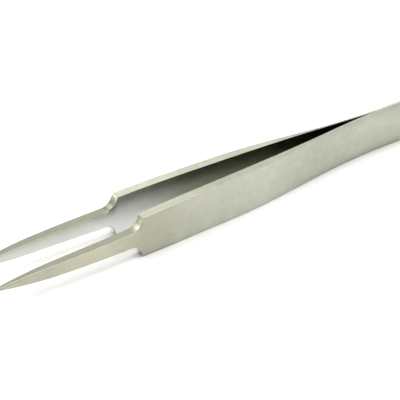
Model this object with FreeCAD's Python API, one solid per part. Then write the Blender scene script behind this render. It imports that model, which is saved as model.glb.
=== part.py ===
import FreeCAD, Part
import math
import os

# Straight tweezers with fine points. Two ground spring-steel blades are welded face to face at the
# tail and spring apart towards the points. Millimetres, +X from the points to the tail, +Y across
# the gap, +Z up across the blade. The blades stand on their lower long edges, and the origin is the
# middle of the bounding box at its foot.

# Lengths along the blade
POINT_LENGTH = 36.5          # from the very point to the shoulder corners
SPRING_LENGTH = 69.5         # from the shoulder corners to the front of the weld
WELD_LENGTH = 14.0           # where the two blades lie face to face

# Widths across the blade, along Z
BODY_WIDTH = 10.0            # the long parallel part that is held in the hand
SHOULDER_WIDTH = 9.4         # at the shoulder corners
SHOULDER_FLARE = 18.0        # length over which the body widens from shoulder to full width
WAIST_WIDTH = 3.73           # just in front of the shoulders
OGIVE_WIDTH = 3.0            # where the point starts to curve in
POINT_WIDTH = 0.3            # the blunt end of the point
OGIVE_LENGTH = 16.0          # length of the curved point
TAIL_CORNER_RADIUS = 2.5
SHOULDER_CORNER_RADIUS = 0.3

# Clear gap between the two inner faces
POINT_GAP = 8.4
BELLY_GAP = 8.1
SHOULDER_GAP = 7.2
GRIP_GAP = 5.5
SPRING_GAP = 2.56
BELLY_AHEAD = 25.5           # the belly station, in front of the shoulders
GRIP_BEHIND = 24.0           # the grip station, behind the shoulders
SPRING_BEHIND = 49.5         # the spring station, behind the shoulders

# Thickness of one blade, along Y
BLADE_THICKNESS = 2.0        # shoulders and grip, flat outside
POINT_THICKNESS = 0.75       # at the very point
THINNING_AHEAD = 6.0         # the outer face starts to sweep in this far in front of the shoulders
SPINE_THICKNESS = 1.35       # middle of the crowned spring section and tail
RIM_THICKNESS = 0.35         # long edges of the crowned spring section and tail
FLAT_CROWN = 0.04            # the least crown that grinding leaves on the flat outer face
CROWN_START = 26.0           # behind the shoulders
CROWN_END = 58.0             # behind the shoulders

EDGE_RADIUS = 0.12           # the outer face's edges are broken to this radius

# How the forms are made
TOOL_MARGIN = 2.0            # how far a forming solid runs past the finished blade
SECTION_PITCH = 4.0          # greatest distance between two sections of the outer face
EDGE_SHARE = 0.4             # the broken edges take at most this share of the point's width each
TOUCH = 0.001                # what lies closer than this counts as touching

LENGTH = POINT_LENGTH + SPRING_LENGTH + WELD_LENGTH
POINT_X = -LENGTH / 2
SHOULDER_X = POINT_X + POINT_LENGTH
WELD_X = SHOULDER_X + SPRING_LENGTH
TAIL_X = LENGTH / 2
MID_Z = BODY_WIDTH / 2


def vec(x, y, z):
    return FreeCAD.Vector(x, y, z)


def line(start, end):
    return Part.LineSegment(start, end).toShape()


def arc(start, middle, end):
    return Part.Arc(start, middle, end).toShape()


def smooth_step(start, end, x):
    """Rises from 0 at start to 1 at end with level tangents."""
    share = min(max((x - start) / (end - start), 0.0), 1.0)
    return share * share * (3 - 2 * share)


def gap_curve():
    """The inner face seen from above: a smooth curve that leaves the weld without a corner."""
    stations = [
        vec(POINT_X, POINT_GAP / 2, 0),
        vec(SHOULDER_X - BELLY_AHEAD, BELLY_GAP / 2, 0),
        vec(SHOULDER_X, SHOULDER_GAP / 2, 0),
        vec(SHOULDER_X + GRIP_BEHIND, GRIP_GAP / 2, 0),
        vec(SHOULDER_X + SPRING_BEHIND, SPRING_GAP / 2, 0),
        vec(WELD_X, 0, 0),
    ]
    curve = Part.BSplineCurve()
    curve.interpolate(Points=stations, InitialTangent=stations[1] - stations[0],
                      FinalTangent=vec(1, 0, 0))
    return curve


def ahead_of_point(curve):
    """The gap curve carried straight on past the very point."""
    slope = curve.tangent(curve.FirstParameter)[0]
    return curve.value(curve.FirstParameter) - slope * (TOOL_MARGIN / slope.x)


def inner_form(curve):
    """All that lies outside the inner face: the side of the gap curve away from the mid plane."""
    far_y = POINT_GAP / 2 + BLADE_THICKNESS + TOOL_MARGIN
    front = ahead_of_point(curve)
    point = curve.value(curve.FirstParameter)
    weld_front = curve.value(curve.LastParameter)
    tail = vec(TAIL_X + TOOL_MARGIN, 0, 0)
    far_tail = vec(tail.x, far_y, 0)
    far_front = vec(front.x, far_y, 0)
    edges = [
        line(front, point),
        curve.toShape(),
        line(weld_front, tail),
        line(tail, far_tail),
        line(far_tail, far_front),
        line(far_front, front),
    ]
    face = Part.Face(Part.Wire(edges))
    face.translate(vec(0, 0, -TOOL_MARGIN))
    return face.extrude(vec(0, 0, BODY_WIDTH + 2 * TOOL_MARGIN))


def rim_thickness(x):
    """Thickness at the long edges: full in the middle, swept in to the point and to the spring."""
    thinning_x = SHOULDER_X - THINNING_AHEAD
    sweep = max((thinning_x - x) / (thinning_x - POINT_X), 0.0)
    point_loss = (BLADE_THICKNESS - POINT_THICKNESS) * sweep * sweep
    crown = smooth_step(SHOULDER_X + CROWN_START, SHOULDER_X + CROWN_END, x)
    return BLADE_THICKNESS - point_loss - (BLADE_THICKNESS - RIM_THICKNESS) * crown


def crown_height(x):
    """How far the middle of the outer face stands proud of its long edges."""
    crown = smooth_step(SHOULDER_X + CROWN_START, SHOULDER_X + CROWN_END, x)
    return FLAT_CROWN + (SPINE_THICKNESS - RIM_THICKNESS - FLAT_CROWN) * crown


def outer_section(x, inner_y):
    """One cross-section of the blade: a crowned arc outside, closed far behind the inner face."""
    height = crown_height(x)
    spine_y = inner_y + rim_thickness(x) + height
    radius = (MID_Z * MID_Z + height * height) / (2 * height)
    reach = MID_Z + TOOL_MARGIN / 2
    fall = radius - math.sqrt(radius * radius - reach * reach)
    low = vec(x, spine_y - fall, MID_Z - reach)
    high = vec(x, spine_y - fall, MID_Z + reach)
    low_back = vec(x, -TOOL_MARGIN, MID_Z - reach)
    high_back = vec(x, -TOOL_MARGIN, MID_Z + reach)
    edges = [
        arc(low, vec(x, spine_y, MID_Z), high),
        line(high, high_back),
        line(high_back, low_back),
        line(low_back, low),
    ]
    return Part.Wire(edges)


def outer_form(curve):
    """All that lies inside the outer face: sections along the gap curve and the weld, lofted."""
    first = curve.FirstParameter
    last = curve.LastParameter
    count = math.ceil((WELD_X - POINT_X) / SECTION_PITCH)
    places = [ahead_of_point(curve)]
    for index in range(count + 1):
        places.append(curve.value(first + (last - first) * index / count))
    tail_reach = WELD_LENGTH + TOOL_MARGIN
    tail_count = math.ceil(tail_reach / SECTION_PITCH)
    for index in range(tail_count):
        places.append(vec(WELD_X + tail_reach * (index + 1) / tail_count, 0, 0))
    return Part.makeLoft([outer_section(place.x, place.y) for place in places], True, False)


def upper_outline():
    """Upper half of the blade's outline seen from the side, from the point to the tail."""
    shoulder_z = SHOULDER_WIDTH / 2
    waist_z = WAIST_WIDTH / 2
    ogive_z = OGIVE_WIDTH / 2
    point_z = POINT_WIDTH / 2
    notch = shoulder_z - waist_z
    notch_x = SHOULDER_X - notch
    ogive_x = POINT_X + OGIVE_LENGTH
    flare_x = SHOULDER_X + SHOULDER_FLARE
    taper = (waist_z - ogive_z) / (notch_x - ogive_x)
    half = OGIVE_LENGTH / 2
    bend = (ogive_z - taper * OGIVE_LENGTH - point_z) / OGIVE_LENGTH ** 2
    ogive_mid = vec(ogive_x - half, 0, ogive_z - taper * half - bend * half * half)
    diagonal = notch * math.sqrt(0.5)
    notch_mid = vec(notch_x + diagonal, 0, shoulder_z - diagonal)
    flare_mid = vec((SHOULDER_X + flare_x) / 2, 0, MID_Z - (MID_Z - shoulder_z) / 4)
    corner = TAIL_CORNER_RADIUS
    corner_mid = vec(TAIL_X - corner * (1 - math.sqrt(0.5)), 0, MID_Z - corner * (1 - math.sqrt(0.5)))
    return [
        arc(vec(POINT_X, 0, point_z), ogive_mid, vec(ogive_x, 0, ogive_z)),
        line(vec(ogive_x, 0, ogive_z), vec(notch_x, 0, waist_z)),
        arc(vec(notch_x, 0, waist_z), notch_mid, vec(SHOULDER_X, 0, shoulder_z)),
        arc(vec(SHOULDER_X, 0, shoulder_z), flare_mid, vec(flare_x, 0, MID_Z)),
        line(vec(flare_x, 0, MID_Z), vec(TAIL_X - corner, 0, MID_Z)),
        arc(vec(TAIL_X - corner, 0, MID_Z), corner_mid, vec(TAIL_X, 0, MID_Z - corner)),
    ]


def shoulder_corners(form):
    """The two outward corners of the shoulders: edges that run straight along Y."""
    corners = []
    for edge in form.Edges:
        box = edge.BoundBox
        runs_across = box.XLength < TOUCH and box.ZLength < TOUCH
        if runs_across and abs(box.XMin - SHOULDER_X) < TOUCH:
            corners.append(edge)
    return corners


def side_form():
    """The blade's outline seen from the side, run right through the blade's thickness."""
    upper = upper_outline()
    lower = [edge.mirror(vec(0, 0, 0), vec(0, 0, 1)) for edge in upper]
    point_z = POINT_WIDTH / 2
    tail_z = MID_Z - TAIL_CORNER_RADIUS
    ends = [
        line(vec(POINT_X, 0, point_z), vec(POINT_X, 0, -point_z)),
        line(vec(TAIL_X, 0, tail_z), vec(TAIL_X, 0, -tail_z)),
    ]
    wire = Part.Wire(Part.__sortEdges__(upper + lower + ends))
    face = Part.Face(wire)
    face.translate(vec(0, -TOOL_MARGIN / 2, MID_Z))
    depth = POINT_GAP / 2 + BLADE_THICKNESS + TOOL_MARGIN
    form = face.extrude(vec(0, depth, 0))
    return form.makeFillet(SHOULDER_CORNER_RADIUS, shoulder_corners(form))


def outer_edges(blade):
    """The edges round the outer face, apart from the blunt end of the point."""
    spine_y = rim_thickness(WELD_X) + crown_height(WELD_X)
    probe = Part.Vertex(WELD_X, spine_y, MID_Z)
    face = min(blade.Faces, key=lambda candidate: candidate.distToShape(probe)[0])
    return [edge for edge in face.Edges if edge.BoundBox.XMax > POINT_X + SECTION_PITCH / 2]


def make_blade():
    """One blade on the +Y side of the mid plane."""
    curve = gap_curve()
    blade = inner_form(curve).common(outer_form(curve)).common(side_form())
    blade = blade.Solids[0]
    return blade.makeFillet(min(EDGE_RADIUS, EDGE_SHARE * POINT_WIDTH), outer_edges(blade))


right_arm = make_blade()
left_arm = right_arm.mirror(vec(0, 0, 0), vec(0, 1, 0))

os.makedirs("parts", exist_ok=True)
for name, shape in {"left_arm": left_arm, "right_arm": right_arm}.items():
    shape.exportStep("parts/" + name + ".step")
    print(name, "valid", shape.isValid(), "solids", len(shape.Solids), "volume", round(shape.Volume, 3))
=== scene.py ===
import logging
import math
from dataclasses import dataclass
from enum import Enum

import bpy
import numpy as np
from mathutils import Matrix, Vector


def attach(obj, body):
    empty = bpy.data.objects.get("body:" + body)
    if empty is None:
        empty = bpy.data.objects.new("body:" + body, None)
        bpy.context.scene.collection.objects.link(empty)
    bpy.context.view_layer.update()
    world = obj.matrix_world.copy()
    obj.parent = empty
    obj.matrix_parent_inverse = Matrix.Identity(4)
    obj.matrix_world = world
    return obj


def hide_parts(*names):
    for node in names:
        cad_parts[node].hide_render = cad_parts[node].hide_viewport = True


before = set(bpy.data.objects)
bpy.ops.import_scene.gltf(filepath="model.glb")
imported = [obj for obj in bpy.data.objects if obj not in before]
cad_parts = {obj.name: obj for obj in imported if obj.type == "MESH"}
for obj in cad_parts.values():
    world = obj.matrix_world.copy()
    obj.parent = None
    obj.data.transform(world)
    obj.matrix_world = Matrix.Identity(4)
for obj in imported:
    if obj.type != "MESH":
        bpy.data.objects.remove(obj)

LOG = logging.getLogger("tweezers")
MM = 0.001  # sizes are in millimetres unless a comment says metres; the scene is in metres
OUTER_ARC = 9  # points of the edge profile's arc beside the outer face
INNER_ARC = 5  # and of its arc beside the inner face, with 3 points between the two

Colour = tuple[float, float, float, float]
Point = tuple[float, float]


class Side(Enum):
    """The two blades: the CAD node that each stands for, its side of the mid plane, and the painted
    shade on its notches.
    """

    # The notch profiles paint shade on the +Y side of the upper notches and on the -Y side of the lower
    # ones
    NEAR = ("left_arm", -1.0,
            [0.0] * OUTER_ARC + [0.0, 0.15, 0.75] + [1.0] * INNER_ARC,
            [0.75] * OUTER_ARC + [0.8, 0.55, 0.22] + [0.1] * INNER_ARC, 0.3)
    FAR = ("right_arm", 1.0,
           [1.0] * OUTER_ARC + [1.0, 0.85, 0.7] + [0.7] * INNER_ARC,
           [0.0] * OUTER_ARC + [0.0, 0.0, 0.8] + [1.0] * INNER_ARC, 1.0)

    @property
    def node(self) -> str:
        """Name of the CAD node."""
        return self.value[0]

    @property
    def sign(self) -> float:
        """-1 for the blade on the -Y side, +1 for the other."""
        return self.value[1]

    @property
    def dull_and_shade(self) -> list[float]:
        """How much painted shade the upper notch takes across its edge face, from the outer to the inner
        side.
        """
        return self.value[2]

    @property
    def under_notch_shade(self) -> list[float]:
        """The same for the lower notch."""
        return self.value[3]

    @property
    def shade_at_top(self) -> float:
        """The share of that painted shade at the lower notch's top, where it fades."""
        return self.value[4]


class Mark(Enum):
    """Point attributes that a blade's mesh carries for its material."""

    INNER = "inner_face"
    EDGE = "edge_face"
    # the points' grinding, and painted shade on the notches and the lower edges
    GROUND = "ground_edge"
    # wear, and painted shade over the upper edges' highlight
    ARRIS = "arris"
    # painted shade along the inner faces' upper rims
    RIM = "inner_rim"


def placed(name: str, data: bpy.types.ID) -> bpy.types.Object:
    """Puts a new object in the scene.

    Args:
        name: The object's name.
        data: Its mesh, light or camera.

    Returns:
        The object.
    """
    item = bpy.data.objects.new(name, data)
    bpy.context.scene.collection.objects.link(item)
    return item


# Shader maths


class Term:
    """A shader socket that takes part in Python arithmetic."""

    def __init__(self, graph: "Graph", socket: bpy.types.NodeSocket) -> None:
        """Wraps one output socket of a node tree."""
        self.graph = graph
        self.socket = socket

    def _math(self, operation: str, first: "Term | float", second: "Term | float") -> "Term":
        """One Math node on two values."""
        return self.graph.term("ShaderNodeMath", {"operation": operation}, {0: first, 1: second})

    def __add__(self, other: "Term | float") -> "Term":
        """self + other"""
        return self._math("ADD", self, other)

    def __radd__(self, other: float) -> "Term":
        """other + self"""
        return self._math("ADD", other, self)

    def __sub__(self, other: "Term | float") -> "Term":
        """self - other"""
        return self._math("SUBTRACT", self, other)

    def __rsub__(self, other: float) -> "Term":
        """other - self"""
        return self._math("SUBTRACT", other, self)

    def __mul__(self, other: "Term | float") -> "Term":
        """self * other"""
        return self._math("MULTIPLY", self, other)

    def __rmul__(self, other: float) -> "Term":
        """other * self"""
        return self._math("MULTIPLY", other, self)

    def ramp(self, low: float, high: float, start: float = 0.0, end: float = 1.0) -> "Term":
        """Goes smoothly from start to end while the value goes from low to high.

        Args:
            low: Value at which the ramp starts.
            high: Value at which it ends.
            start: Result at and before low.
            end: Result at and after high.

        Returns:
            The ramped value.
        """
        inputs = {"Value": self, "From Min": low, "From Max": high, "To Min": start, "To Max": end}
        return self.graph.term("ShaderNodeMapRange", {"interpolation_type": "SMOOTHSTEP"}, inputs)


class Graph:
    """A node tree that is filled by code."""

    def __init__(self, owner: bpy.types.Material | bpy.types.World) -> None:
        """Empties the owner's node tree and takes it over.

        Args:
            owner: The material or world whose nodes are to be made.
        """
        owner.use_nodes = True
        self.tree = owner.node_tree
        self.tree.nodes.clear()

    def add(self, kind: str, settings: dict | None = None, inputs: dict | None = None) -> bpy.types.Node:
        """Adds one node.

        Args:
            kind: The node's type name.
            settings: Properties of the node, set before its sockets are touched.
            inputs: Values or links by socket name or number.

        Returns:
            The new node.
        """
        node = self.tree.nodes.new(kind)
        for name, value in (settings or {}).items():
            setattr(node, name, value)
        for key, value in (inputs or {}).items():
            if isinstance(value, Term):
                self.tree.links.new(value.socket, node.inputs[key])
            else:
                node.inputs[key].default_value = value
        return node

    def term(self, kind: str, settings: dict | None = None, inputs: dict | None = None,
             output: str | int = 0) -> Term:
        """Adds one node, as add does, and wraps the output that is wanted."""
        return Term(self, self.add(kind, settings, inputs).outputs[output])

    def place(self) -> Term:
        """The point in object coordinates, in metres."""
        return self.term("ShaderNodeTexCoord", output="Object")

    def mark(self, mark: Mark) -> Term:
        """One of the mesh's own point attributes, from 0 to 1."""
        return self.term("ShaderNodeAttribute", {"attribute_name": mark.value}, output="Fac")

    def highest(self, first: Term, second: Term) -> Term:
        """The larger of two values."""
        return self.term("ShaderNodeMath", {"operation": "MAXIMUM"}, {0: first, 1: second})

    def noise(self, place: Term, scale: tuple[float, float, float], detail: float = 2.0,
              roughness: float = 0.5) -> Term:
        """Noise from 0 to 1 with its own pitch along each axis.

        Args:
            place: The point, in metres.
            scale: Waves per metre along X, Y and Z.
            detail: Octaves of finer noise.
            roughness: Strength of the finer noise.

        Returns:
            The noise value.
        """
        scaled = self.term("ShaderNodeVectorMath", {"operation": "MULTIPLY"}, {0: place, 1: scale})
        inputs = {"Vector": scaled, "Scale": 1.0, "Detail": detail, "Roughness": roughness}
        return self.term("ShaderNodeTexNoise", {}, inputs)

    def blend(self, share: Term | float, first: Term | Colour, second: Term | Colour,
              how: str = "MIX") -> Term:
        """Mixes two colours.

        Args:
            share: How much of the second colour is taken.
            first: First colour.
            second: Second colour.
            how: Blend type.

        Returns:
            The mixed colour.
        """
        node = self.add("ShaderNodeMix", {"data_type": "RGBA", "blend_type": how},
                        {0: share, 6: first, 7: second})
        return Term(self, node.outputs[2])

    def times(self, first: Term | Colour, second: Term | Colour) -> Term:
        """One colour multiplied by another."""
        return self.blend(1.0, first, second, "MULTIPLY")

    def grey(self, value: Term | float) -> Term:
        """A value as a grey colour."""
        return self.term("ShaderNodeCombineColor", {}, {0: value, 1: value, 2: value})

    def stations(self, value: Term, places: tuple[float, ...], levels: tuple[float, ...]) -> Term:
        """A smooth curve of levels over places.

        Args:
            value: Where on the curve to read.
            places: The stations, rising.
            levels: The level at each station, from 0 to 2.

        Returns:
            The level at the value.
        """
        first, last = places[0], places[-1]
        span = {"Value": value, "From Min": first, "From Max": last}
        share = self.term("ShaderNodeMapRange", {}, span)
        node = self.add("ShaderNodeValToRGB", {}, {"Fac": share})
        ramp = node.color_ramp
        ramp.interpolation = "B_SPLINE"
        for place in places[1:-1]:
            ramp.elements.new((place - first) / (last - first))
        for element, level in zip(ramp.elements, levels):
            element.color = (level / 2, level / 2, level / 2, 1.0)
        return Term(self, node.outputs[0]) * 2.0

    def finish(self, shader: bpy.types.Node, kind: str = "ShaderNodeOutputMaterial") -> None:
        """Joins the last shader to the output."""
        output = self.add(kind)
        self.tree.links.new(shader.outputs[0], output.inputs[0])


# Finishes


@dataclass(frozen=True)
class SatinSteel:
    """Ground and satin-finished spring steel, as one blade wears it, with painted shade, sheen and
    reflection.
    """

    name: str
    outer: Colour = (0.478, 0.483, 0.408, 1.0)  # outer faces, a slightly warm grey
    point_outer: Colour = (0.490, 0.482, 0.381, 1.0)  # and warmer on the points
    inner_point: Colour = (0.65, 0.66, 0.615, 1.0)  # inner faces at the points' ends
    inner: Colour = (0.795, 0.805, 0.785, 1.0)  # further back, more neutral
    inner_tail_shade: Colour = (0.48, 0.485, 0.42, 1.0)  # painted shade: darker along the spring, where the gap between the blades narrows
    point_rim_shade: Colour = (0.72, 0.71, 0.61, 1.0)  # painted shade: multiplies them at the points' upper edges
    body_rim_shade: Colour = (0.38, 0.38, 0.35, 1.0)  # painted shade at the body's
    tail_rim_shade: Colour = (0.58, 0.58, 0.49, 1.0)  # and at the spring's
    bright_edge: Colour = (0.71, 0.73, 0.575, 1.0)  # edge faces of the shoulders
    grip_edge: Colour = (0.56, 0.58, 0.465, 1.0)  # and further back, where they are duller
    tail_edge: Colour = (0.51, 0.53, 0.43, 1.0)  # and duller still along the spring
    ground_edge: Colour = (0.44, 0.445, 0.345, 1.0)  # edge faces of the ground points
    notch_shade_edge: Colour = (0.33, 0.335, 0.265, 1.0)  # painted shade on one side of the shoulders' notches
    under_edge_shade: Colour = (0.15, 0.155, 0.12, 1.0)  # painted shade along the lower edges
    under_notch_reflection: Colour = (0.94, 0.94, 0.89, 1.0)  # painted reflection: the lower notches' bright side
    arris: Colour = (0.34, 0.35, 0.285, 1.0)  # broken upper edges: wear, and painted shade over their highlight
    point_arris_wear_and_shade: Colour = (0.25, 0.255, 0.205, 1.0)  # and darker on the points, with more painted shade
    rosy: Colour = (1.0, 0.988, 0.982, 1.0)  # the faint stains' two tints
    leafy: Colour = (0.988, 1.0, 0.99, 1.0)
    white: Colour = (1.0, 1.0, 1.0, 1.0)
    shoulder: float = -23.5 * MM  # where the points' grinding ends, in metres
    point_to_body: Point = (0.0, 16.0)  # where one colour gives way to the next, from there
    inner_point_end: Point = (-13.0, -2.0)
    inner_tail_shade_start: Point = (2.0, 28.0)
    rim_shade_at_shoulder: Point = (-3.0, 0.0)
    rim_shade_at_tail: Point = (20.0, 34.0)
    edge_at_grip: Point = (7.0, 22.0)
    edge_at_tail: Point = (34.0, 50.0)
    arris_at_shoulder: Point = (-7.0, -2.0)
    shoulder_passed: Point = (0.5, 1.5)
    notch_reached: Point = (-2.8, -1.8)
    upper_half: Point = (2.5, 4.5)  # heights between the lower and the upper edges
    sheen_x: tuple = (-60.0, -52.0, -44.0, -36.0, -30.0, -24.0, -16.0, -8.0, 0.0, 9.0, 15.0,
                      22.0, 29.0, 37.0, 60.0)
    sheen: tuple = (0.98, 0.92, 0.98, 1.12, 1.00, 0.86, 0.95, 1.06, 1.02, 1.10, 1.02,
                    0.92, 0.95, 1.02, 0.99)  # painted sheen: soft bands of reflection along the outer face
    face_roughness: float = 0.34
    edge_roughness: float = 0.27
    inner_roughness: float = 0.24
    grain_pitch: tuple = (9000.0, 2500.0, 350.0)  # waves per metre along X, Y and Z
    scratch_pitch: tuple = (260.0, 6000.0, 9000.0)
    cloud_pitch: tuple = (150.0, 220.0, 90.0)
    mottle_pitch: tuple = (520.0, 700.0, 700.0)
    scuff_pitch: tuple = (300.0, 1500.0, 1500.0)
    stain_pitch: tuple = (330.0, 300.0, 300.0)
    grain_depth: float = 0.24  # how much each pattern changes the colour
    scratch_depth: float = 0.18
    cloud_depth: float = 0.20
    mottle_depth: float = 0.27
    scuff_depth: float = 0.08
    inner_calm: float = 0.75  # how far the grain fades on the inner faces
    edge_calm: float = 0.7  # and on the edge faces
    inner_clean: float = 0.9  # and how far mottle and scuffs fade on the inner faces
    scuff_levels: Point = (0.60, 0.76)  # noise levels where a scuff begins and is full
    stain_levels: Point = (0.35, 0.65)
    wear_and_shade_levels: tuple = (0.3, 0.7, 0.6, 0.85)  # noise from and to, share of wear and painted shade from and to
    rough_by_grain: float = 0.14  # how much each pattern changes the roughness
    rough_by_cloud: float = 0.10
    rough_by_scuff: float = 0.05
    grain_relief: float = 0.6  # shares of the fine relief
    scratch_relief: float = 0.4
    bump_strength: float = 0.10
    bump_height: float = 0.00002  # metres

    def stretch(self, along: Term, ends: Point) -> Term:
        """How much of a stretch a place is through, with both ends given from the shoulder."""
        return along.ramp(self.shoulder + ends[0] * MM, self.shoulder + ends[1] * MM)

    def make(self) -> bpy.types.Material:
        """Builds the material.

        The base colour goes from outer to inner to edge by the mesh's own marks. Grain is noise
        drawn out across the blade on the outer faces, with a finer one along it. Slower noise
        gives soft clouds, a mottle, faint stains and a few darker scuffs along the blade. Wear
        and painted shade follow the arris. Painted shade also darkens the inner faces' upper rims,
        the inner faces along the spring, one side of each notch and the lower edges; a painted
        reflection lightens the lower notches' other side, and painted sheen bands run along the
        outer face.

        Returns:
            The material.
        """
        material = bpy.data.materials.new(self.name)
        graph = Graph(material)
        place = graph.place()
        split = graph.add("ShaderNodeSeparateXYZ", {}, {0: place})
        along, up = Term(graph, split.outputs[0]), Term(graph, split.outputs[2])
        inner, edge, ground_and_shade, arris, at_rim = (graph.mark(mark) for mark in Mark)

        grain = graph.noise(place, self.grain_pitch, 3.0, 0.6)
        scratch = graph.noise(place, self.scratch_pitch, 2.0, 0.55)
        cloud = graph.noise(place, self.cloud_pitch, 2.0, 0.5)
        cross = (grain - 0.5) * (1.0 - inner * self.inner_calm) * (1.0 - edge * self.edge_calm)
        mottle = graph.noise(place, self.mottle_pitch, 3.0, 0.6) - 0.5
        scuff = graph.noise(place, self.scuff_pitch, 2.0).ramp(*self.scuff_levels)
        plain = 1.0 - inner * self.inner_clean
        tone = (cross * self.grain_depth + (scratch - 0.5) * self.scratch_depth
                + (cloud - 0.5) * self.cloud_depth + mottle * plain * self.mottle_depth
                - scuff * plain * self.scuff_depth)
        tint = graph.noise(place, self.stain_pitch, 1.0).ramp(*self.stain_levels)

        # painted sheen: soft bands of reflection along the outer face
        sheen = graph.stations(along * (1 / MM), self.sheen_x, self.sheen)
        outer = graph.blend(self.stretch(along, self.point_to_body), self.point_outer, self.outer)
        outer = graph.times(outer, graph.grey(sheen))

        inside = graph.blend(self.stretch(along, self.inner_point_end), self.inner_point, self.inner)
        # painted shade along the spring, between the blades
        inside = graph.blend(self.stretch(along, self.inner_tail_shade_start), inside, self.inner_tail_shade)
        # painted shade: the inner faces darken towards their upper rims
        rim = graph.blend(self.stretch(along, self.rim_shade_at_shoulder), self.point_rim_shade, self.body_rim_shade)
        rim = graph.blend(self.stretch(along, self.rim_shade_at_tail), rim, self.tail_rim_shade)
        rim = graph.blend(at_rim, self.white, rim)
        inside = graph.times(inside, rim)

        edges = graph.blend(self.stretch(along, self.edge_at_grip), self.bright_edge, self.grip_edge)
        edges = graph.blend(self.stretch(along, self.edge_at_tail), edges, self.tail_edge)
        upper = up.ramp(self.upper_half[0] * MM, self.upper_half[1] * MM)
        past = self.stretch(along, self.shoulder_passed)
        # painted reflection on the lower notches' bright side
        edges = graph.blend((1.0 - upper) * (1.0 - past), edges, self.under_notch_reflection)
        # the points' grinding, and painted shade on the notches and along the lower edges
        dull_and_shade = graph.blend(self.stretch(along, self.notch_reached), self.ground_edge, self.notch_shade_edge)
        dull_and_shade = graph.blend(upper, self.under_edge_shade, dull_and_shade)
        edges = graph.blend(ground_and_shade, edges, dull_and_shade)

        colour = graph.blend(inner, outer, inside)
        colour = graph.blend(edge, colour, edges)
        # wear, and painted shade over the upper edges' highlight
        worn_and_shaded = graph.blend(self.stretch(along, self.arris_at_shoulder), self.point_arris_wear_and_shade, self.arris)
        colour = graph.blend(arris * cloud.ramp(*self.wear_and_shade_levels), colour, worn_and_shaded)
        colour = graph.times(colour, graph.blend(tint, self.rosy, self.leafy))
        colour = graph.times(colour, graph.grey(1.0 + tone))

        level = (self.face_roughness - inner * (self.face_roughness - self.inner_roughness)
                 - edge * (self.face_roughness - self.edge_roughness))
        roughness = (level + cross * self.rough_by_grain + (cloud - 0.5) * self.rough_by_cloud
                     + scuff * plain * self.rough_by_scuff)
        height = grain * self.grain_relief + scratch * self.scratch_relief
        relief = {"Strength": self.bump_strength, "Distance": self.bump_height, "Height": height}
        steel = {"Base Color": colour, "Metallic": 1.0, "Roughness": roughness,
                 "Normal": graph.term("ShaderNodeBump", {}, relief)}
        graph.finish(graph.add("ShaderNodeBsdfPrincipled", {}, steel))
        return material


@dataclass(frozen=True)
class StudioSweep:
    """The plain white floor: a pale matt surface that still shows the object's shadow."""

    name: str = "white_sweep"
    colour: Colour = (0.97, 0.97, 0.965, 1.0)
    lift: float = 0.35  # share by which the camera and the metal see it paler
    cloud_pitch: tuple = (6.0, 6.0, 6.0)  # waves per metre

    def make(self) -> bpy.types.Material:
        """Builds the material: a matt surface, lifted to white for camera and mirror rays.

        Returns:
            The material.
        """
        material = bpy.data.materials.new(self.name)
        graph = Graph(material)
        place = graph.place()
        tone = graph.noise(place, self.cloud_pitch, 2.0).ramp(0.3, 0.7, 0.99, 1.0)
        path = graph.add("ShaderNodeLightPath")
        camera = Term(graph, path.outputs["Is Camera Ray"])
        glossy = Term(graph, path.outputs["Is Glossy Ray"])
        through = Term(graph, path.outputs["Is Transmission Ray"])
        seen = graph.highest(graph.highest(camera, glossy), through)
        tone = tone * (1.0 + seen * self.lift)
        colour = graph.times(self.colour, graph.grey(tone))
        graph.finish(graph.add("ShaderNodeBsdfDiffuse", {}, {"Color": colour}))
        return material


# Curves


@dataclass(frozen=True)
class Circle:
    """A circle in the plane of the blade's outline, X along the blade and Z across it."""

    x: float
    z: float
    radius: float

    @staticmethod
    def through(first: Point, middle: Point, last: Point) -> "Circle":
        """The circle through three points.

        Its centre has the same distance to all three, which is two equations in x and z.

        Args:
            first: (x, z) of the first point.
            middle: (x, z) of the second point.
            last: (x, z) of the third point.

        Returns:
            The circle.
        """
        a, b, c = np.array(first), np.array(middle), np.array(last)
        sides = 2 * np.array([b - a, c - a])
        centre = np.linalg.solve(sides, np.array([b @ b - a @ a, c @ c - a @ a]))
        return Circle(float(centre[0]), float(centre[1]), float(np.hypot(*(a - centre))))

    def angle(self, x: float, z: float) -> float:
        """Direction of a point as seen from the centre, in radians from 0 to a full turn."""
        return math.atan2(z - self.z, x - self.x) % (2 * math.pi)

    def meeting(self, other: "Circle", right: bool) -> Point:
        """A point that lies on both circles.

        The point is at (d^2 + r1^2 - r2^2) / 2d along the line of centres, and beside it by the
        root of what is left of r1^2.

        Args:
            other: The second circle.
            right: Takes the meeting on the right of the line from this centre to the other.

        Returns:
            (x, z) of the meeting.
        """
        step = np.array([other.x - self.x, other.z - self.z])
        distance = float(np.hypot(*step))
        unit = step / distance
        ahead = (distance ** 2 + self.radius ** 2 - other.radius ** 2) / (2 * distance)
        beside = math.sqrt(self.radius ** 2 - ahead ** 2) * (1 if right else -1)
        return (self.x + unit[0] * ahead + unit[1] * beside,
                self.z + unit[1] * ahead - unit[0] * beside)

    def run(self, start: float, end: float, count: int, inside: bool = True) -> np.ndarray:
        """Points along an arc, with the direction that leads out of the blade.

        A point is centre + radius * (cos a, sin a), with a going evenly from start to end.

        Args:
            start: First angle.
            end: Last angle.
            count: Number of points, without the last.
            inside: True where the blade's steel is on the centre's side of the arc.

        Returns:
            Rows of x, z, outward x, outward z.
        """
        angle = start + (end - start) * np.arange(count) / count
        ray = np.stack([np.cos(angle), np.sin(angle)], axis=1)
        out = ray if inside else -ray
        return np.hstack([np.array([[self.x, self.z]]) + self.radius * ray, out])


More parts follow.
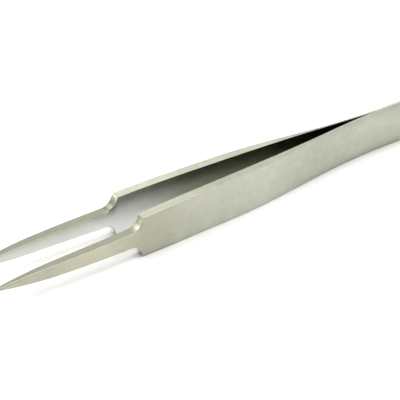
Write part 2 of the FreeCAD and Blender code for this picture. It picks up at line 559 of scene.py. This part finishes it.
def straight(start: Point, end: Point, count: int) -> np.ndarray:
    """Points along a straight line, with the direction that leads out on its left.

    Args:
        start: (x, z) of the first point.
        end: (x, z) of the last point, which isn't among the results.
        count: Number of points.

    Returns:
        Rows of x, z, outward x, outward z.
    """
    a, b = np.array(start), np.array(end)
    share = (np.arange(count) / count)[:, None]
    unit = (b - a) / np.hypot(*(b - a))
    out = np.array([-unit[1], unit[0]])
    return np.hstack([a + (b - a) * share, np.repeat(out[None], count, axis=0)])


def smooth_step(start: float, end: float, x: np.ndarray) -> np.ndarray:
    """3 s^2 - 2 s^3, with s the share of the way from start to end."""
    share = np.clip((x - start) / (end - start), 0.0, 1.0)
    return share * share * (3 - 2 * share)


def cells(ids: np.ndarray) -> np.ndarray:
    """The four corners of every cell of a grid of numbers, round from the first axis."""
    corners = [ids[:-1, :-1], ids[1:, :-1], ids[1:, 1:], ids[:-1, 1:]]
    return np.stack(corners, 2).reshape(-1, 4)


@dataclass(frozen=True)
class Spline:
    """A smooth curve y(x) through stations, with set slopes at both ends."""

    x: np.ndarray
    y: np.ndarray
    slope: np.ndarray

    @staticmethod
    def through(x: tuple, y: tuple, first: float, last: float) -> "Spline":
        """Finds the slopes that make the second derivative run on through every station.

        Args:
            x: Places of the stations, rising.
            y: Values at the stations.
            first: Slope at the first station.
            last: Slope at the last station.

        Returns:
            The spline.
        """
        places, values = np.array(x, float), np.array(y, float)
        step = np.diff(places)
        rise = np.diff(values) / step
        count = len(places)
        matrix, right = np.eye(count), np.zeros(count)
        inner = np.arange(1, count - 1)
        matrix[inner, inner - 1] = 1 / step[:-1]
        matrix[inner, inner] = 2 / step[:-1] + 2 / step[1:]
        matrix[inner, inner + 1] = 1 / step[1:]
        right[inner] = 3 * (rise[:-1] / step[:-1] + rise[1:] / step[1:])
        right[0], right[-1] = first, last
        return Spline(places, values, np.linalg.solve(matrix, right))

    def at(self, x: np.ndarray) -> np.ndarray:
        """Values at x: the cubic that has each station's value and slope at both its ends.

        Args:
            x: Places along the curve.

        Returns:
            The curve's values there.
        """
        place = np.clip(x, self.x[0], self.x[-1])
        index = np.clip(np.searchsorted(self.x, place, side="right") - 1, 0, len(self.x) - 2)
        step = self.x[index + 1] - self.x[index]
        s = (place - self.x[index]) / step
        return (self.y[index] * (1 + 2 * s) * (1 - s) ** 2
                + self.y[index + 1] * s * s * (3 - 2 * s)
                + self.slope[index] * step * s * (1 - s) ** 2
                - self.slope[index + 1] * step * s * s * (1 - s))


# The blades


@dataclass
class Blade:
    """One of the two ground blades, with the sizes of the CAD's own source."""

    side: Side
    point_x: float = -60.0  # stations along X, from the points to the tail
    shoulder_x: float = -23.5
    weld_x: float = 46.0
    tail_x: float = 60.0
    body_width: float = 10.0  # widths across the blade, along Z
    shoulder_width: float = 9.4
    shoulder_flare: float = 18.0
    waist_width: float = 3.73
    ogive_width: float = 3.0
    ogive_length: float = 16.0
    point_width: float = 0.3
    point_corner: float = 0.1
    tail_corner: float = 2.5
    shoulder_corner: float = 0.12  # crisper than the solid's
    gap_x: tuple = (-60.0, -49.0, -23.5, 0.5, 26.0, 46.0)  # stations of the inner face's curve
    gap_y: tuple = (4.2, 4.05, 3.6, 2.75, 1.28, 0.0)  # and half of the clear gap at each
    thickness: float = 2.0
    point_thickness: float = 0.75
    thinning_ahead: float = 6.0
    spine_thickness: float = 1.35
    rim_thickness: float = 0.35
    flat_crown: float = 0.04
    crown_run: Point = (26.0, 58.0)  # from the shoulder, where the crown grows
    outer_edge: float = 0.12  # how far the outer edges are broken on the body
    point_edge: float = 0.30  # and near the points, where the grinding is heavier
    inner_edge: float = 0.02  # the inner edges are left almost sharp
    notch_inner_edge: float = 0.20
    weld_edge: float = 0.14  # where the two blades' edges make the seam's groove
    point_edge_run: Point = (4.0, 16.0)  # from the point, where the heavier break eases
    weld_edge_run: float = 12.0  # and the groove starts this far ahead of the weld
    notch_edge_rise: Point = (-2.9, -1.8)  # from the shoulder, where the notch's break grows
    notch_edge_fall: Point = (-1.3, -0.2)  # and where it shrinks again
    tip_room: Point = (0.45, 0.75)  # shares that keep the breaks small at the very point
    corner_room: Point = (0.9, 0.35)  # and at the shoulder's corner
    most_outer: float = 0.55  # no break takes a larger share of the edge face
    most_inner: float = 0.4
    edge_rows: tuple = (0.06, 0.5, 0.94)  # shares of the edge face where the profile has points
    upper_edge: tuple = (0.0,) * 5 + (0.5,) + (1.0,) * 10 + (0.25,)  # how far a point is edge face
    lower_edge: tuple = (0.0, 0.3, 0.8) + (1.0,) * 12 + (0.8, 0.3)
    # how much wear and painted shade each point of the outer arc takes
    arris_wear: tuple = (0.15, 0.5, 0.9, 1.0, 1.0, 1.0, 0.9, 0.5, 0.2) + (0.0,) * 8
    less_wear_and_shade: float = 0.7  # how much less wear and painted shade the points and the notches take
    inner_fade: tuple = (0.2, 0.6, 1.0)  # the inner arc's last points turn to inner face
    grinding_end: Point = (-2.6, -2.0)  # from the shoulder, where the points' grinding and the notch's painted shade end, and where the body's lower edges take painted shade
    notch_end: Point = (-0.08, 0.02)
    body_start: Point = (-0.1, 0.2)
    inner_body_start: Point = (-3.0, 0.0)
    shade_reach: Point = (0.4, 0.6)  # how far inside the lower notch its painted shade fades
    tail_corner_turn: Point = (0.3, 0.9)  # how far the outline faces down where it takes the lower edges' painted shade
    body_rim_shade_band: Point = (0.1, 0.85)  # shares of the half width where the painted shade on the inner rim begins and is full
    point_rim_shade_power: float = 3.0  # and how fast it fades across the points
    skin: float = 0.008  # the surface stays this far inside the CAD solid
    columns: int = 41
    crowding: float = 0.75  # how strongly the columns crowd towards the two edges

    @property
    def mid_z(self) -> float:
        """Height of the blade's middle line."""
        return self.body_width / 2

    def past(self, ends: Point, x: np.ndarray) -> np.ndarray:
        """A smooth step between two places that are given from the shoulder."""
        return smooth_step(self.shoulder_x + ends[0], self.shoulder_x + ends[1], x)

    def crown(self, x: np.ndarray) -> np.ndarray:
        """How far the flat grip has given way to the crowned spring and tail, from 0 to 1."""
        return self.past(self.crown_run, x)

    def inner_y(self, x: np.ndarray) -> np.ndarray:
        """Half of the clear gap: a spline through the stations, and 0 along the weld.

        Args:
            x: Places along the blade.

        Returns:
            Distances of the inner face from the mid plane between the blades.
        """
        first = (self.gap_y[1] - self.gap_y[0]) / (self.gap_x[1] - self.gap_x[0])
        curve = Spline.through(self.gap_x, self.gap_y, first, 0.0)
        return np.where(x < self.weld_x, curve.at(x), 0.0)

    def rim_y(self, x: np.ndarray) -> np.ndarray:
        """Thickness at the long edges.

        Full thickness, less a square of the way from the thinning to the very point, less a smooth
        step from the start to the end of the crown.

        Args:
            x: Places along the blade.

        Returns:
            The thickness there.
        """
        thinning_x = self.shoulder_x - self.thinning_ahead
        sweep = np.maximum((thinning_x - x) / (thinning_x - self.point_x), 0.0)
        return (self.thickness - (self.thickness - self.point_thickness) * sweep ** 2
                - (self.thickness - self.rim_thickness) * self.crown(x))

    def outer_y(self, x: np.ndarray, z: np.ndarray) -> np.ndarray:
        """The outer face.

        Half gap + rim thickness + the crown, an arc across the blade that passes through both rims
        and rises by the crown's height in the middle.

        Args:
            x: Places along the blade.
            z: Distances from the middle line.

        Returns:
            Distances from the mid plane between the blades.
        """
        height = (self.flat_crown
                  + (self.spine_thickness - self.rim_thickness - self.flat_crown) * self.crown(x))
        radius = (self.mid_z ** 2 + height ** 2) / (2 * height)
        return (self.inner_y(x) + self.rim_y(x) + height - radius
                + np.sqrt(radius ** 2 - np.minimum(z ** 2, self.mid_z ** 2)) - self.skin)

    def upper_outline(self) -> np.ndarray:
        """The upper half of the outline, from the blunt point's corner to the tail end's corner.

        A small arc at the point, the ogive's arc, a straight taper, the notch's quarter circle, a
        small arc at the shoulder, the flare's arc, a straight run and the tail's quarter circle.
        Each arc meets the next where their circles touch.

        Returns:
            Rows of x, z from the middle line, outward x, outward z.
        """
        half_turn = math.pi
        shoulder_z, waist_z = self.shoulder_width / 2, self.waist_width / 2
        ogive_z, point_z = self.ogive_width / 2, self.point_width / 2
        notch = shoulder_z - waist_z
        notch_x = self.shoulder_x - notch
        ogive_x = self.point_x + self.ogive_length
        flare_x = self.shoulder_x + self.shoulder_flare
        taper = (waist_z - ogive_z) / (notch_x - ogive_x)
        half = self.ogive_length / 2
        bend = (ogive_z - taper * self.ogive_length - point_z) / self.ogive_length ** 2
        middle = (ogive_x - half, ogive_z - taper * half - bend * half * half)
        ogive = Circle.through((self.point_x, point_z), middle, (ogive_x, ogive_z))
        middle = ((self.shoulder_x + flare_x) / 2, self.mid_z - (self.mid_z - shoulder_z) / 4)
        flare = Circle.through((self.shoulder_x, shoulder_z), middle, (flare_x, self.mid_z))
        hollow = Circle(notch_x, shoulder_z, notch)
        small = self.point_corner
        drop = math.sqrt((ogive.radius - small) ** 2 - (self.point_x + small - ogive.x) ** 2)
        point = Circle(self.point_x + small, ogive.z + drop, small)
        away = Circle(hollow.x, hollow.z, hollow.radius + self.shoulder_corner)
        within = Circle(flare.x, flare.z, flare.radius - self.shoulder_corner)
        corner_x, corner_z = away.meeting(within, right=False)
        corner = Circle(corner_x, corner_z, self.shoulder_corner)
        large = self.tail_corner
        tail = Circle(self.tail_x - large, self.mid_z - large, large)
        to_ogive = ogive.angle(point.x, point.z)
        to_hollow = corner.angle(hollow.x, hollow.z)
        to_flare = flare.angle(corner.x, corner.z)
        parts = [
            point.run(half_turn, to_ogive, count=10),
            ogive.run(to_ogive, ogive.angle(ogive_x, ogive_z), count=40),
            straight((ogive_x, ogive_z), (notch_x, waist_z), count=30),
            hollow.run(1.5 * half_turn, to_hollow + half_turn, count=40, inside=False),
            corner.run(to_hollow, to_flare, count=12),
            flare.run(to_flare, flare.angle(flare_x, self.mid_z), count=30),
            straight((flare_x, self.mid_z), (tail.x, self.mid_z), count=110),
            tail.run(half_turn / 2, 0.0, count=30),
            np.array([[self.tail_x, tail.z, 1.0, 0.0]]),
        ]
        return np.vstack(parts)

    def loop(self) -> tuple[np.ndarray, np.ndarray, int]:
        """The whole closed outline, and how the blade's end rows are divided.

        The upper half, down the tail end, the mirrored lower half, and up the blunt point.

        Returns:
            Rows of x, z, outward x, outward z; the shares of the half width at each column, from
            +1 to -1; and the number of rows along the blade.
        """
        upper = self.upper_outline()
        rows = len(upper)
        way = np.linspace(0.0, 1.0, self.columns)
        share = self.crowding * np.cos(math.pi * way) + (1 - self.crowding) * (1 - 2 * way)
        inner = share[1:-1]
        tail = np.zeros((self.columns - 2, 4))
        tail[:, 0], tail[:, 1], tail[:, 2] = self.tail_x, inner * upper[-1, 1], 1.0
        point = np.zeros((self.columns - 2, 4))
        point[:, 0], point[:, 1], point[:, 2] = self.point_x, -inner * upper[0, 1], -1.0
        lower = upper[::-1] * np.array([1.0, -1.0, 1.0, -1.0])
        return np.vstack([upper, tail, lower, point]), share, rows

    def breaks(self, loop: np.ndarray) -> tuple[np.ndarray, np.ndarray]:
        """How far the edges are broken at each place of the outline.

        Each break goes smoothly from one set size to the next. It never takes more room than the
        very point and the shoulder's corner leave, nor more than its share of the edge face.

        Args:
            loop: Rows of x, z, outward x, outward z.

        Returns:
            The radii of the outer and of the inner break.
        """
        x, z = loop[:, 0], loop[:, 1]
        first, last = self.point_edge_run
        near_point = 1 - smooth_step(self.point_x + first, self.point_x + last, x)
        outer = self.outer_edge + (self.point_edge - self.outer_edge) * near_point
        tip, slope = self.tip_room
        at_tip = tip * (np.abs(z) + slope * (x - self.point_x) + self.point_width / 2)
        corner, slope = self.corner_room
        at_corner = corner * self.shoulder_corner + slope * np.abs(x - self.shoulder_x)
        room = np.minimum(at_tip, at_corner)
        outer = np.minimum(outer, np.minimum(room, self.most_outer * self.rim_y(x)))
        notch = self.past(self.notch_edge_rise, x) * (1 - self.past(self.notch_edge_fall, x))
        weld = smooth_step(self.weld_x - self.weld_edge_run, self.weld_x, x)
        inner = (self.inner_edge + (self.notch_inner_edge - self.inner_edge) * notch
                 + (self.weld_edge - self.inner_edge) * weld)
        return outer, np.minimum(inner, np.minimum(room, self.most_inner * self.rim_y(x)))

    def band(self, loop: np.ndarray) -> np.ndarray:
        """The edge faces: a profile of the blade's edge carried round the closed outline.

        Seen along the outline, the profile is an arc that touches the outer face and the edge face,
        the edge face itself, and a smaller arc that touches the edge face and the inner face. An
        arc of radius e lies e (1 - sin f) inside the outline at its angle f.

        Args:
            loop: Rows of x, z, outward x, outward z.

        Returns:
            The points as an array of outline by profile by xyz, with z from the middle line.
        """
        x, z, out_x, out_z = loop.T
        broken, small = self.breaks(loop)
        at_rim = self.outer_y(x, z)
        slope = (self.outer_y(x - out_x * broken, z - out_z * broken) - at_rim) / broken
        tilt = np.arctan(slope)
        inner = self.inner_y(x)

        arc = np.linspace(0.0, 1.0, OUTER_ARC)[None, :]
        angle = tilt[:, None] + (math.pi / 2 - tilt[:, None]) * arc
        centre = (at_rim + slope * broken - broken / np.cos(tilt))[:, None]
        top_inset = broken[:, None] * (1 - np.sin(angle))
        top_y = centre + broken[:, None] * np.cos(angle)

        high, low = top_y[:, -1:], (inner + small)[:, None]
        flat_y = high + (low - high) * np.array(self.edge_rows)[None, :]
        flat_inset = np.zeros_like(flat_y)

        turn = (math.pi / 2) * np.linspace(1.0, 0.0, INNER_ARC)[None, :]
        low_inset = small[:, None] * (1 - np.sin(turn))
        low_y = inner[:, None] + small[:, None] * (1 - np.cos(turn))

        inset = np.hstack([top_inset, flat_inset, low_inset])
        y = np.hstack([top_y, flat_y, low_y])
        return np.stack([x[:, None] - out_x[:, None] * inset, y,
                         z[:, None] - out_z[:, None] * inset], axis=2)

    def band_marks(self, loop: np.ndarray) -> dict[Mark, np.ndarray]:
        """What the steel of the edge faces is told, as weights from 0 to 1.

        The upper and the lower edges have a profile each, across the edge face, and each mark goes
        from one to the other where the outline turns to face down.

        Args:
            loop: Rows of x, z, outward x, outward z.

        Returns:
            The edge, ground and arris marks, outline by profile.
        """
        x, z, _, out_z = loop.T
        at_notch = (1 - self.past(self.notch_end, x))[:, None]
        at_point = (1 - self.past(self.grinding_end, x))[:, None]
        # the points' grinding, and painted shade on one side of the upper notch
        upper_ground_and_shade = np.maximum(at_point, at_notch * np.array(self.side.dull_and_shade)[None, :])

        first, last = self.shade_reach
        reach = smooth_step(self.waist_width / 2 + first, self.shoulder_width / 2 - last, np.abs(z))
        dull_and_shade = (self.side.shade_at_top + (1 - self.side.shade_at_top) * reach)[:, None]
        at_body = self.past(self.body_start, x)[:, None]
        # painted shade on the body's lower edges and on one side of the lower notch
        lower_shade = np.maximum(at_body, np.array(self.side.under_notch_shade)[None, :] * dull_and_shade)

        at_end = x > self.tail_x - self.tail_corner
        lower = np.where(at_end, smooth_step(*self.tail_corner_turn, -out_z), z < 0)[:, None]
        upper_edge, lower_edge = np.array(self.upper_edge), np.array(self.lower_edge)
        worn_and_shaded = np.array(self.arris_wear)[None, :] * (1 - self.less_wear_and_shade * at_notch)
        return {
            Mark.EDGE: upper_edge[None, :] + (lower_edge - upper_edge)[None, :] * lower,
            Mark.GROUND: upper_ground_and_shade + (lower_shade - upper_ground_and_shade) * lower,
            Mark.ARRIS: worn_and_shaded * (1 - lower),
        }

    def build(self, material: bpy.types.Material) -> bpy.types.Object:
        """Makes the blade's closed mesh and dresses it.

        The two faces are grids of rows along the blade and columns across it: at share t of the
        half width w, a point is (x, face height at x and t w, t w). The edge band joins their
        borders, vertex to vertex.

        Args:
            material: The blade's finish.

        Returns:
            The finished piece.
        """
        loop, share, rows = self.loop()
        band = self.band(loop)
        around, across = band.shape[:2]
        columns = self.columns
        index = np.arange(around * across).reshape(around, across)

        def grid(border: np.ndarray, offset: int) -> tuple[np.ndarray, np.ndarray, np.ndarray]:
            """Lays one face's grid inside the band's border.

            Args:
                border: Numbers of the band's vertices along the face's outline.
                offset: Number of the first vertex that the face adds.

            Returns:
                The grid's vertex numbers, and the x and z of the vertices that it adds.
            """
            ids = np.zeros((rows, columns), int)
            ids[:, 0] = border[:rows]
            ids[-1, 1:-1] = border[rows:rows + columns - 2]
            ids[:, -1] = border[rows + columns - 2:2 * rows + columns - 2][::-1]
            ids[0, 1:-1] = border[2 * rows + columns - 2:][::-1]
            inner = (rows - 2) * (columns - 2)
            ids[1:-1, 1:-1] = offset + np.arange(inner).reshape(rows - 2, columns - 2)
            rim = band.reshape(-1, 3)[ids[1:-1, 0]]
            x = np.repeat(rim[:, :1], columns - 2, axis=1)
            return ids, x, rim[:, 2:3] * share[None, 1:-1]

        outer_ids, outer_x, outer_z = grid(index[:, 0], around * across)
        start = around * across + outer_x.size
        inner_ids, inner_x, inner_z = grid(index[:, -1], start)
        outer = np.stack([outer_x, self.outer_y(outer_x, outer_z), outer_z], axis=2)
        inner = np.stack([inner_x, self.inner_y(inner_x), inner_z], axis=2)
        points = np.vstack([band.reshape(-1, 3), outer.reshape(-1, 3), inner.reshape(-1, 3)])
        points[:, 1] *= self.side.sign
        points[:, 2] += self.mid_z
        ring = np.vstack([index, index[:1]])
        quads = np.vstack([cells(ring.T), cells(outer_ids), cells(inner_ids.T)])
        if self.side.sign < 0:
            quads = quads[:, ::-1]
        mesh = bpy.data.meshes.new(self.side.node + "_steel")
        mesh.from_pydata((points * MM).tolist(), [], quads.tolist())
        mesh.polygons.foreach_set("use_smooth", np.ones(len(quads), bool))
        bare = np.zeros(outer_x.size)
        half = np.concatenate([np.repeat(np.sign(loop[:, 1]), across), bare,
                               np.tile(share[1:-1], rows - 2)])
        place = np.concatenate([np.repeat(loop[:, 0], across), bare, inner_x.ravel()])
        body = self.past(self.inner_body_start, place)
        fade = np.r_[np.zeros(across - len(self.inner_fade)), self.inner_fade]
        marks = {
            # painted shade along the inner faces' upper rims
            Mark.RIM: (((1 + half) / 2) ** self.point_rim_shade_power * (1 - body)
                       + smooth_step(*self.body_rim_shade_band, half) * body),
            Mark.INNER: np.concatenate([np.tile(fade, around), bare, np.ones(inner_x.size)]),
        }
        for mark, values in self.band_marks(loop).items():
            marks[mark] = np.concatenate([values.ravel(), bare, np.zeros(inner_x.size)])
        for mark, values in marks.items():
            attribute = mesh.attributes.new(mark.value, "FLOAT", "POINT")
            attribute.data.foreach_set("value", values.astype(np.float32))
        mesh.materials.append(material)
        mesh.update()
        piece = placed(self.side.node + "_blade", mesh)
        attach(piece, "root")
        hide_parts(self.side.node)
        LOG.info("%s: %d vertices, %d faces", piece.name, len(points), len(quads))
        return piece


# The studio


@dataclass
class Camera:
    """The photograph's viewpoint."""

    target: tuple = (-3.5, 0.0, 5.0)
    azimuth: float = -39.66  # degrees, from -Y towards +X
    elevation: float = 33.03
    roll: float = 3.40
    distance: float = 643.5
    side_step: float = -0.708  # how far the lens's axis passes beside the target
    lift: float = -0.975
    focal: float = 3064.3  # in pixels of the photograph's frame
    frame_width: int = 400
    sensor: float = 36.0
    clip: Point = (0.01, 20.0)  # metres

    def build(self) -> None:
        """Sets the scene's camera.

        The camera looks back along the ray (azimuth, elevation) to the target, turned about that
        ray by the roll, and stands at the distance from it.
        """
        azimuth, elevation, roll = map(math.radians, (self.azimuth, self.elevation, self.roll))
        back = Vector((math.sin(azimuth) * math.cos(elevation),
                       -math.cos(azimuth) * math.cos(elevation), math.sin(elevation)))
        right = Vector((math.cos(azimuth), math.sin(azimuth), 0.0))
        up = back.cross(right)
        turned_right = right * math.cos(roll) + up * math.sin(roll)
        turned_up = up * math.cos(roll) - right * math.sin(roll)
        place = (Vector(self.target) + turned_right * self.side_step + turned_up * self.lift
                 + back * self.distance) * MM
        lens = bpy.data.cameras.new("camera")
        lens.sensor_width = self.sensor
        lens.sensor_fit = "HORIZONTAL"
        lens.lens = self.focal / self.frame_width * self.sensor
        lens.clip_start, lens.clip_end = self.clip
        camera = placed("camera", lens)
        turn = Matrix((turned_right, turned_up, back)).transposed()
        camera.matrix_world = Matrix.Translation(place) @ turn.to_4x4()
        bpy.context.scene.camera = camera


@dataclass
class Lamp:
    """A soft rectangular studio lamp that points at the object."""

    name: str
    place: tuple  # metres
    size: tuple  # metres
    power: float  # watts
    colour: tuple = (1.0, 1.0, 1.0)

    def build(self) -> None:
        """Puts the lamp in the scene."""
        light = bpy.data.lights.new(self.name, "AREA")
        light.shape = "RECTANGLE"
        light.size, light.size_y = self.size
        light.energy = self.power
        light.color = self.colour
        lamp = placed(self.name, light)
        back = Vector(self.place).normalized()
        lamp.matrix_world = (Matrix.Translation(self.place)
                             @ back.to_track_quat("Z", "Y").to_matrix().to_4x4())


@dataclass
class Studio:
    """The pale floor, the surround and the lamps."""

    floor_size: float = 6.0  # metres
    floor_lines: int = 9  # of its points, each way
    floor_drop: float = 0.02  # how far it lies under the blades' lower edges
    room_level: float = 0.32  # the surround's light
    wall_level: float = 0.92  # and the two pale walls', beyond the tail and at the back
    tail_wall: Point = (0.10, 0.42)  # the direction's share of X where that wall begins and is full
    back_wall: Point = (0.25, 0.75)  # and its share of Y for the other

    def floor(self) -> None:
        """Builds the floor: a plain square, with its points evenly spaced both ways."""
        half = self.floor_size / 2
        line = np.linspace(-half, half, self.floor_lines)
        x, y = np.meshgrid(line, line, indexing="ij")
        points = np.stack([x, y, np.full_like(x, -self.floor_drop * MM)], 2).reshape(-1, 3)
        ids = np.arange(x.size).reshape(x.shape)
        mesh = bpy.data.meshes.new("floor")
        mesh.from_pydata(points.tolist(), [], cells(ids).tolist())
        mesh.materials.append(StudioSweep().make())
        floor = placed("floor", mesh)

    def surround(self) -> None:
        """The world: a dim room with two pale walls, white where the camera looks.

        The level goes smoothly from the room's to the walls' with the larger of two ramps, one on
        the direction's share of X and one on its share of Y.
        """
        world = bpy.data.worlds.new("studio")
        bpy.context.scene.world = world
        graph = Graph(world)
        direction = graph.term("ShaderNodeTexCoord", output="Generated")
        split = graph.add("ShaderNodeSeparateXYZ", {}, {0: direction})
        beyond = Term(graph, split.outputs[0]).ramp(*self.tail_wall)
        behind = Term(graph, split.outputs[1]).ramp(*self.back_wall)
        wall = graph.highest(beyond, behind)
        level = self.room_level + wall * (self.wall_level - self.room_level)
        path = graph.add("ShaderNodeLightPath")
        camera = Term(graph, path.outputs["Is Camera Ray"])
        level = level + camera * (1.0 - level)
        light = {"Color": (1.0, 1.0, 1.0, 1.0), "Strength": level}
        graph.finish(graph.add("ShaderNodeBackground", {}, light), "ShaderNodeOutputWorld")

    def build(self) -> None:
        """Builds floor, surround and lamps."""
        self.floor()
        self.surround()
        for lamp in (
            Lamp("overhead", (0.34, -0.09, 0.83), (0.62, 0.70), 3.6),
            Lamp("back_strip", (-0.28, 0.50, 0.50), (0.40, 0.30), 0.34),
        ):
            lamp.build()
            LOG.info("lamp %s", lamp.name)


@dataclass
class Tweezers:
    """Straight tweezers: two blades, face to face along the weld."""

    near_finish: SatinSteel = SatinSteel("near_satin_steel")
    # painted light: the far blade's edge faces are paler than the near one's, a lit copy of one steel
    far_lit_finish: SatinSteel = SatinSteel(
        "far_satin_steel_lit", bright_edge=(0.80, 0.82, 0.665, 1.0),
        grip_edge=(0.68, 0.705, 0.55, 1.0))

    def build(self) -> list[bpy.types.Object]:
        """Builds both blades; the far one wears a lit copy of the steel, painted paler on its edge
        faces.
        """
        finishes = {Side.NEAR: self.near_finish, Side.FAR: self.far_lit_finish}
        return [Blade(side).build(finish.make()) for side, finish in finishes.items()]


def main() -> None:
    """Builds the dressed tweezers and their studio."""
    logging.basicConfig(level=logging.INFO, format="%(name)s %(message)s")
    scene = bpy.context.scene
    scene.view_settings.view_transform = "Standard"
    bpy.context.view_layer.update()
    Camera().build()
    Studio().build()
    for piece in Tweezers().build():
        LOG.info("built %s", piece.name)


if __name__ == "__main__":
    main()
